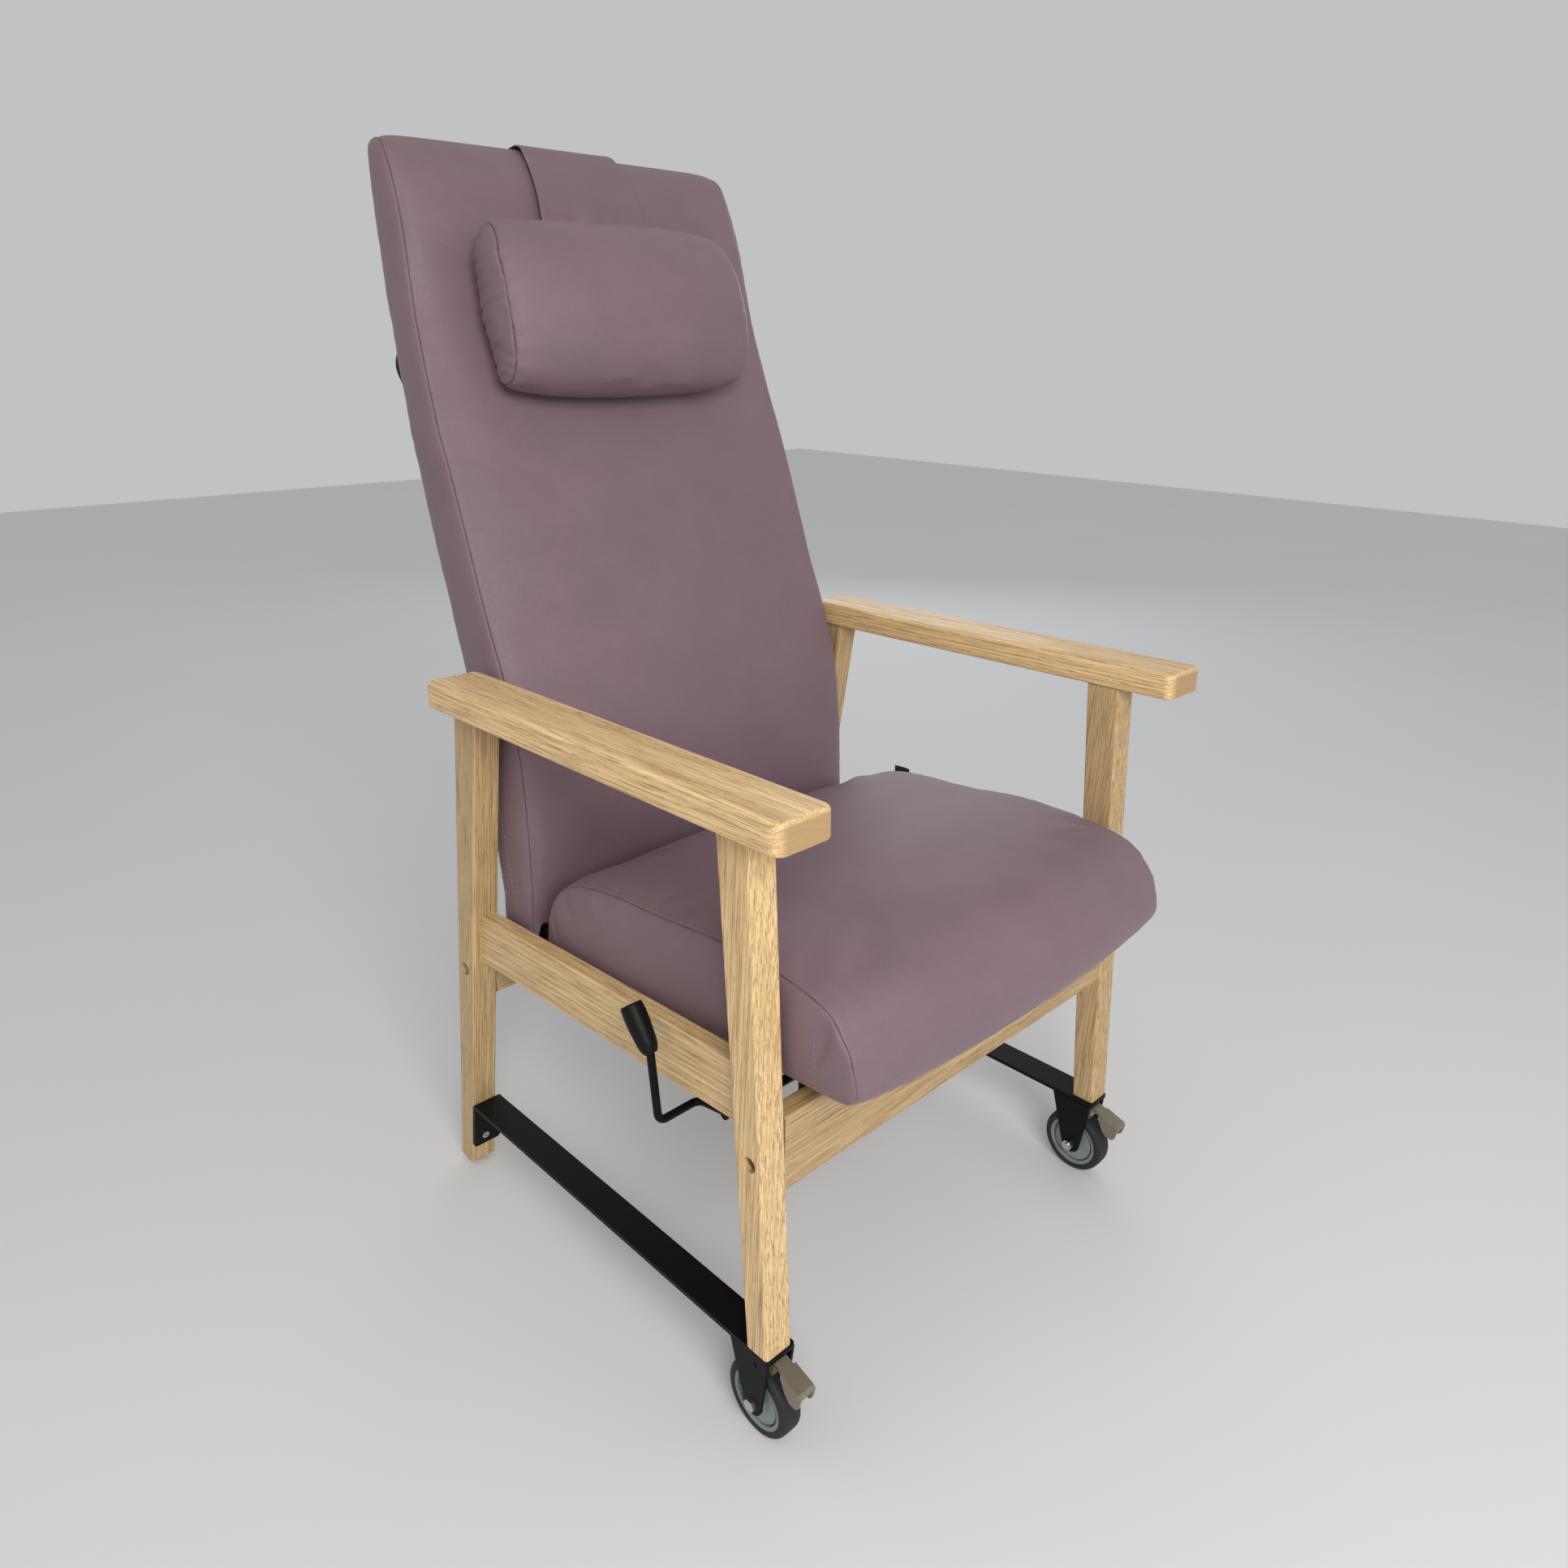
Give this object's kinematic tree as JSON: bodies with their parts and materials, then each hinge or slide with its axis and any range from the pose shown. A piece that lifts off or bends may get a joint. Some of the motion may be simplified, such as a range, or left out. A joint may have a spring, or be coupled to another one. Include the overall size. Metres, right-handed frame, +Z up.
{
  "type": "patient recliner chair",
  "caption": "High-backed hospital recliner with oak side frames, vinyl seat and back, head pillow on a strap, recline lever, rear push handle and braked front wheels.",
  "frame": {"origin": "on the floor, under the middle of the chair's bounding box", "axes": "+X to the sitter's left, -Y to the front of the seat, +Z up"},
  "size_m": [0.634, 0.7762, 1.1945],
  "materials": {
    "oak": "satin clear lacquer on oak",
    "beech": "plain beech",
    "plywood": "plain plywood",
    "mauve_vinyl": "satin wipe-clean vinyl with a fine grain",
    "black_fabric": "woven black tape",
    "black_steel": "satin black powder coat",
    "black_tube": "satin black powder coat",
    "zinc_steel": "bright zinc plate",
    "chromed_rod": "polished chrome",
    "pedal_steel": "satin warm grey paint",
    "tyre_rubber": "matte rubber",
    "hub_plastic": "moulded grey plastic",
    "nylon": "natural nylon",
    "black_plastic": "matte black plastic",
    "grip_rubber": "matte black rubber"
  },
  "bodies": {
    "frame": {"front_leg_left": "oak", "front_leg_right": "oak", "back_leg_left": "oak", "back_leg_right": "oak", "side_rail_left": "oak", "side_rail_right": "oak", "armrest_left": "oak", "armrest_right": "oak", "front_cross_rail": "oak", "rear_cross_rail": "oak", "joint_dowels": "beech", "frame_bolts": "zinc_steel", "barrel_nuts": "zinc_steel", "rear_glides": "black_plastic", "side_bar_left": "black_steel", "side_bar_right": "black_steel", "wheel_fork_left": "black_steel", "wheel_fork_right": "black_steel", "bar_screws": "zinc_steel", "axle_bolts": "zinc_steel", "axle_nuts": "zinc_steel", "pedal_pins": "zinc_steel", "frame_screws": "zinc_steel", "pan_screws": "zinc_steel", "seat_pan": "plywood", "seat_cushion": "mauve_vinyl", "seat_tag": "black_fabric", "seat_bearer_left": "black_steel", "seat_bearer_right": "black_steel", "hinge_bracket_left": "black_steel", "hinge_bracket_right": "black_steel", "hinge_pins": "zinc_steel", "gas_spring_bracket": "black_steel", "shaft_hanger": "black_steel"},
    "backrest": {"back_board": "plywood", "back_cushion": "mauve_vinyl", "back_cover": "mauve_vinyl", "back_bracket": "black_steel", "back_screws": "zinc_steel", "gas_spring_pin": "zinc_steel", "push_handle": "black_tube", "handle_grip": "grip_rubber", "pillow_strap": "mauve_vinyl"},
    "pillow": {"head_pillow": "mauve_vinyl"},
    "pillow_weight": {"counterweight": "mauve_vinyl"},
    "spring_rod": {"gas_spring_head": "black_steel", "gas_spring_rod": "chromed_rod"},
    "spring_cylinder": {"gas_spring_cylinder": "black_steel"},
    "valve_pin": {"release_pin": "zinc_steel"},
    "release_lever": {"release_shaft": "black_steel", "release_rod": "black_steel", "lever_grip": "black_plastic"},
    "wheel_left": {"tyre_left": "tyre_rubber", "wheel_hub_left": "hub_plastic", "hub_bearings_left": "nylon"},
    "wheel_right": {"tyre_right": "tyre_rubber", "wheel_hub_right": "hub_plastic", "hub_bearings_right": "nylon"},
    "brake_left": {"brake_pedal_left": "pedal_steel"},
    "brake_right": {"brake_pedal_right": "pedal_steel"}
  },
  "joints": [
    {"name": "back_recline", "type": "hinge", "parent": "frame", "child": "backrest", "pos_m": [0, 0.193, 0.425], "axis": [-1, 0, 0], "range_deg": [0, 24]},
    {"name": "spring_tilt", "type": "hinge", "parent": "frame", "child": "spring_rod", "pos_m": [-0.12, -0.225, 0.31], "axis": [1, 0, 0], "range_deg": [0, 3.35]},
    {"name": "spring_stroke", "type": "slide", "parent": "spring_rod", "child": "spring_cylinder", "axis": [0, 0.998, 0.0638], "range_m": [-0.0325, 0]},
    {"name": "release_turn", "type": "hinge", "parent": "frame", "child": "release_lever", "pos_m": [-0.251, -0.225, 0.31], "axis": [1, 0, 0], "range_deg": [0, 15], "stiffness_Nm_per_rad": 1.5, "springref_deg": -20.05},
    {"name": "valve_press", "type": "slide", "parent": "spring_rod", "child": "valve_pin", "axis": [0, 0.998, 0.0638], "range_m": [0, 0.0029]},
    {"name": "pillow_height", "type": "slide", "parent": "backrest", "child": "pillow", "axis": [0, 0.3053, 0.9523], "range_m": [-0.1, 0.03]},
    {"name": "weight_height", "type": "slide", "parent": "backrest", "child": "pillow_weight", "axis": [0, 0.2582, 0.9661], "range_m": [-0.0301, 0.1001]},
    {"name": "wheel_roll_left", "type": "hinge", "parent": "frame", "child": "wheel_left", "pos_m": [0.2715, -0.299, 0.04], "axis": [1, 0, 0], "continuous": true},
    {"name": "brake_press_left", "type": "hinge", "parent": "frame", "child": "brake_left", "pos_m": [0.2715, -0.303, 0.0905], "axis": [1, 0, 0], "range_deg": [0, 12]},
    {"name": "wheel_roll_right", "type": "hinge", "parent": "frame", "child": "wheel_right", "pos_m": [-0.2715, -0.299, 0.04], "axis": [1, 0, 0], "continuous": true},
    {"name": "brake_press_right", "type": "hinge", "parent": "frame", "child": "brake_right", "pos_m": [-0.2715, -0.303, 0.0905], "axis": [1, 0, 0], "range_deg": [0, 12]}
  ],
  "couplings": [
    {"joint": "spring_tilt", "follows": "back_recline", "ratio": 0.13898},
    {"joint": "spring_stroke", "follows": "back_recline", "m_per_rad": -0.07734},
    {"joint": "valve_press", "follows": "release_turn", "m_per_rad": 0.010695},
    {"joint": "weight_height", "follows": "pillow_height", "ratio": -1}
  ]
}
